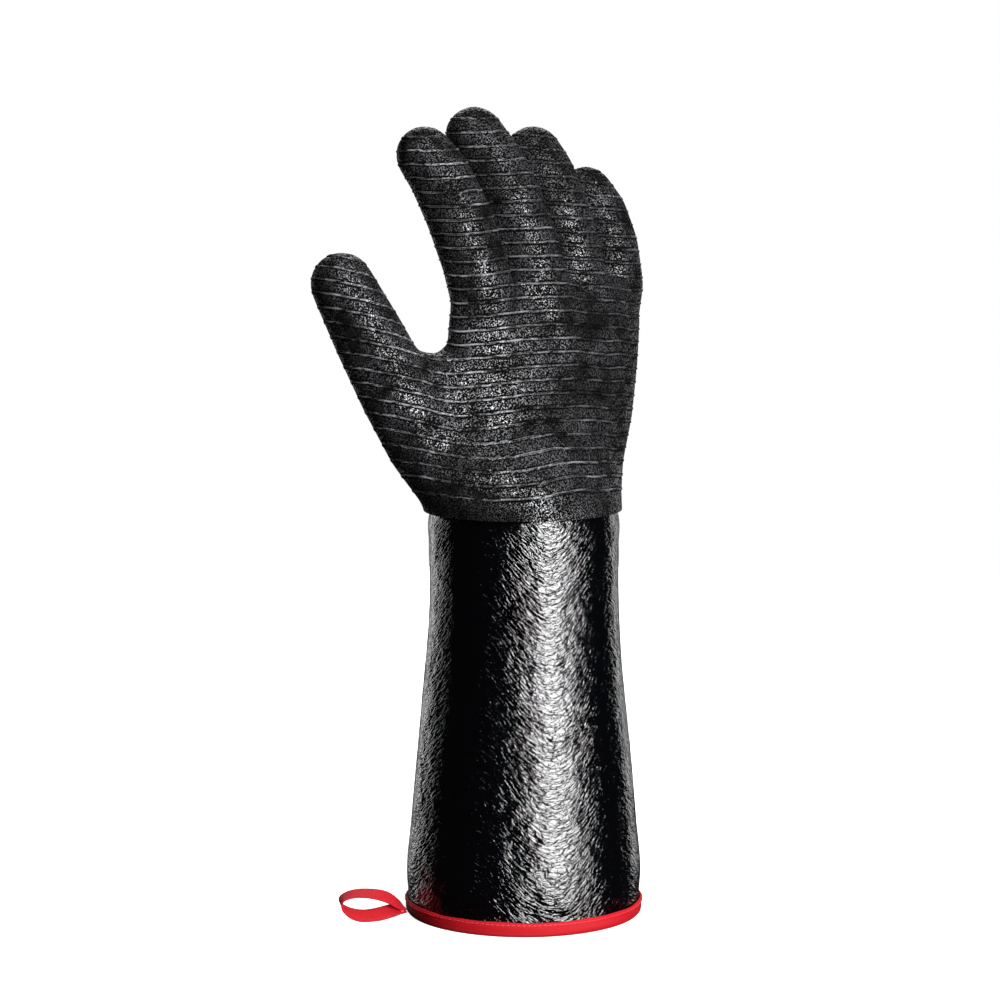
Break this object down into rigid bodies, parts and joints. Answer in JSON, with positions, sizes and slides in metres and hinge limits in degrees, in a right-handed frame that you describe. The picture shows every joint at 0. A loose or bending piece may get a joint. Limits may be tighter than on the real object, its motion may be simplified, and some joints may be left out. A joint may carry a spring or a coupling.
{
  "type": "heat resistant glove",
  "caption": "Long-cuff right-hand glove: ribbed rubber hand coat, glossy sleeve, thermal liner, bound cuff and hanging loop.",
  "frame": {"origin": "on the ground under the centre of the whole glove, as it stands on its cuff", "axes": "+Z from the cuff to the fingertips, +Y out of the palm, +X towards the little finger"},
  "size_m": [0.1982, 0.1286, 0.4276],
  "materials": {
    "grip_coat": "satin, fine sandy grain with raised ribs",
    "sleeve_coat": "gloss, finely wrinkled",
    "liner": "matt knit",
    "tape": "matt twill tape",
    "thread": "satin polyester thread"
  },
  "bodies": {
    "sleeve": {"sleeve_coat": "sleeve_coat", "sleeve_liner": "liner", "wrist_coat": "grip_coat", "cuff_binding": "tape", "binding_thread": "thread"},
    "loop": {"hang_loop": "tape", "loop_bar_tack": "thread"},
    "hand": {"hand_coat": "grip_coat", "hand_liner": "liner"},
    "index_proximal": {"index_proximal_coat": "grip_coat", "index_proximal_liner": "liner"},
    "index_middle": {"index_middle_coat": "grip_coat", "index_middle_liner": "liner"},
    "index_distal": {"index_distal_coat": "grip_coat", "index_distal_liner": "liner"},
    "middle_proximal": {"middle_proximal_coat": "grip_coat", "middle_proximal_liner": "liner"},
    "middle_middle": {"middle_middle_coat": "grip_coat", "middle_middle_liner": "liner"},
    "middle_distal": {"middle_distal_coat": "grip_coat", "middle_distal_liner": "liner"},
    "ring_proximal": {"ring_proximal_coat": "grip_coat", "ring_proximal_liner": "liner"},
    "ring_middle": {"ring_middle_coat": "grip_coat", "ring_middle_liner": "liner"},
    "ring_distal": {"ring_distal_coat": "grip_coat", "ring_distal_liner": "liner"},
    "little_proximal": {"little_proximal_coat": "grip_coat", "little_proximal_liner": "liner"},
    "little_middle": {"little_middle_coat": "grip_coat", "little_middle_liner": "liner"},
    "little_distal": {"little_distal_coat": "grip_coat", "little_distal_liner": "liner"},
    "thumb_proximal": {"thumb_proximal_coat": "grip_coat", "thumb_proximal_liner": "liner"},
    "thumb_distal": {"thumb_distal_coat": "grip_coat", "thumb_distal_liner": "liner"}
  },
  "joints": [
    {"name": "wrist", "type": "hinge", "parent": "sleeve", "child": "hand", "pos_m": [0.00746, 0.001, 0.24], "axis": [-1, 0, 0], "range_deg": [-34, 44], "stiffness_Nm_per_rad": 3},
    {"name": "index_knuckle", "type": "hinge", "parent": "hand", "child": "index_proximal", "pos_m": [-0.02211, 0.00567, 0.3477], "axis": [-0.9848, 0, -0.1736], "range_deg": [-15, 45], "stiffness_Nm_per_rad": 1},
    {"name": "index_middle_joint", "type": "hinge", "parent": "index_proximal", "child": "index_middle", "pos_m": [-0.0264, 0.0137, 0.37205], "axis": [-0.9848, 0, -0.1736], "range_deg": [-10, 60], "stiffness_Nm_per_rad": 0.6},
    {"name": "index_tip_joint", "type": "hinge", "parent": "index_middle", "child": "index_distal", "pos_m": [-0.02996, 0.02415, 0.39224], "axis": [-0.9848, 0, -0.1736], "range_deg": [-6.7, 40.1], "stiffness_Nm_per_rad": 0.4},
    {"name": "middle_knuckle", "type": "hinge", "parent": "hand", "child": "middle_proximal", "pos_m": [0.01139, -0.00033, 0.3517], "axis": [-0.9848, 0, -0.1736], "range_deg": [-15, 45], "stiffness_Nm_per_rad": 1},
    {"name": "middle_middle_joint", "type": "hinge", "parent": "middle_proximal", "child": "middle_middle", "pos_m": [0.00702, 0.00786, 0.37652], "axis": [-0.9848, 0, -0.1736], "range_deg": [-10, 60], "stiffness_Nm_per_rad": 0.6},
    {"name": "middle_tip_joint", "type": "hinge", "parent": "middle_middle", "child": "middle_distal", "pos_m": [0.0033, 0.01875, 0.39758], "axis": [-0.9848, 0, -0.1736], "range_deg": [-6.7, 40.1], "stiffness_Nm_per_rad": 0.4},
    {"name": "ring_knuckle", "type": "hinge", "parent": "hand", "child": "ring_proximal", "pos_m": [0.04601, 0.00367, 0.34682], "axis": [-0.9945, 0, -0.1045], "range_deg": [-15, 45], "stiffness_Nm_per_rad": 1},
    {"name": "ring_middle_joint", "type": "hinge", "parent": "ring_proximal", "child": "ring_middle", "pos_m": [0.04346, 0.01113, 0.37107], "axis": [-0.9945, 0, -0.1045], "range_deg": [-10, 60], "stiffness_Nm_per_rad": 0.6},
    {"name": "ring_tip_joint", "type": "hinge", "parent": "ring_middle", "child": "ring_distal", "pos_m": [0.04129, 0.02085, 0.3918], "axis": [-0.9945, 0, -0.1045], "range_deg": [-6.7, 40.1], "stiffness_Nm_per_rad": 0.4},
    {"name": "little_knuckle", "type": "hinge", "parent": "hand", "child": "little_proximal", "pos_m": [0.08311, 0.0097, 0.33197], "axis": [-0.9994, 0, -0.0349], "range_deg": [-15, 45], "stiffness_Nm_per_rad": 1},
    {"name": "little_middle_joint", "type": "hinge", "parent": "little_proximal", "child": "little_middle", "pos_m": [0.08235, 0.01314, 0.35369], "axis": [-0.9994, 0, -0.0349], "range_deg": [-10, 50], "stiffness_Nm_per_rad": 0.6},
    {"name": "little_tip_joint", "type": "hinge", "parent": "little_middle", "child": "little_distal", "pos_m": [0.08176, 0.02066, 0.37058], "axis": [-0.9994, 0, -0.0349], "range_deg": [-6.7, 33.4], "stiffness_Nm_per_rad": 0.4},
    {"name": "thumb_knuckle", "type": "hinge", "parent": "hand", "child": "thumb_proximal", "pos_m": [-0.06554, 0.018, 0.28], "axis": [-0.7143, 0.5357, -0.4503], "range_deg": [-12, 25], "stiffness_Nm_per_rad": 0.8},
    {"name": "thumb_tip_joint", "type": "hinge", "parent": "thumb_proximal", "child": "thumb_distal", "pos_m": [-0.07542, 0.02996, 0.3099], "axis": [-0.7143, 0.5357, -0.4503], "range_deg": [-12, 40], "stiffness_Nm_per_rad": 0.5},
    {"name": "loop_swing", "type": "hinge", "parent": "sleeve", "child": "loop", "pos_m": [-0.05156, 0.02628, 0.0042], "axis": [0.4067, 0.9135, 0], "range_deg": [-60, 45], "stiffness_Nm_per_rad": 0.02}
  ],
  "couplings": [
    {"joint": "index_tip_joint", "follows": "index_middle_joint", "ratio": 0.6667},
    {"joint": "middle_tip_joint", "follows": "middle_middle_joint", "ratio": 0.6667},
    {"joint": "ring_tip_joint", "follows": "ring_middle_joint", "ratio": 0.6667},
    {"joint": "little_tip_joint", "follows": "little_middle_joint", "ratio": 0.6667}
  ]
}
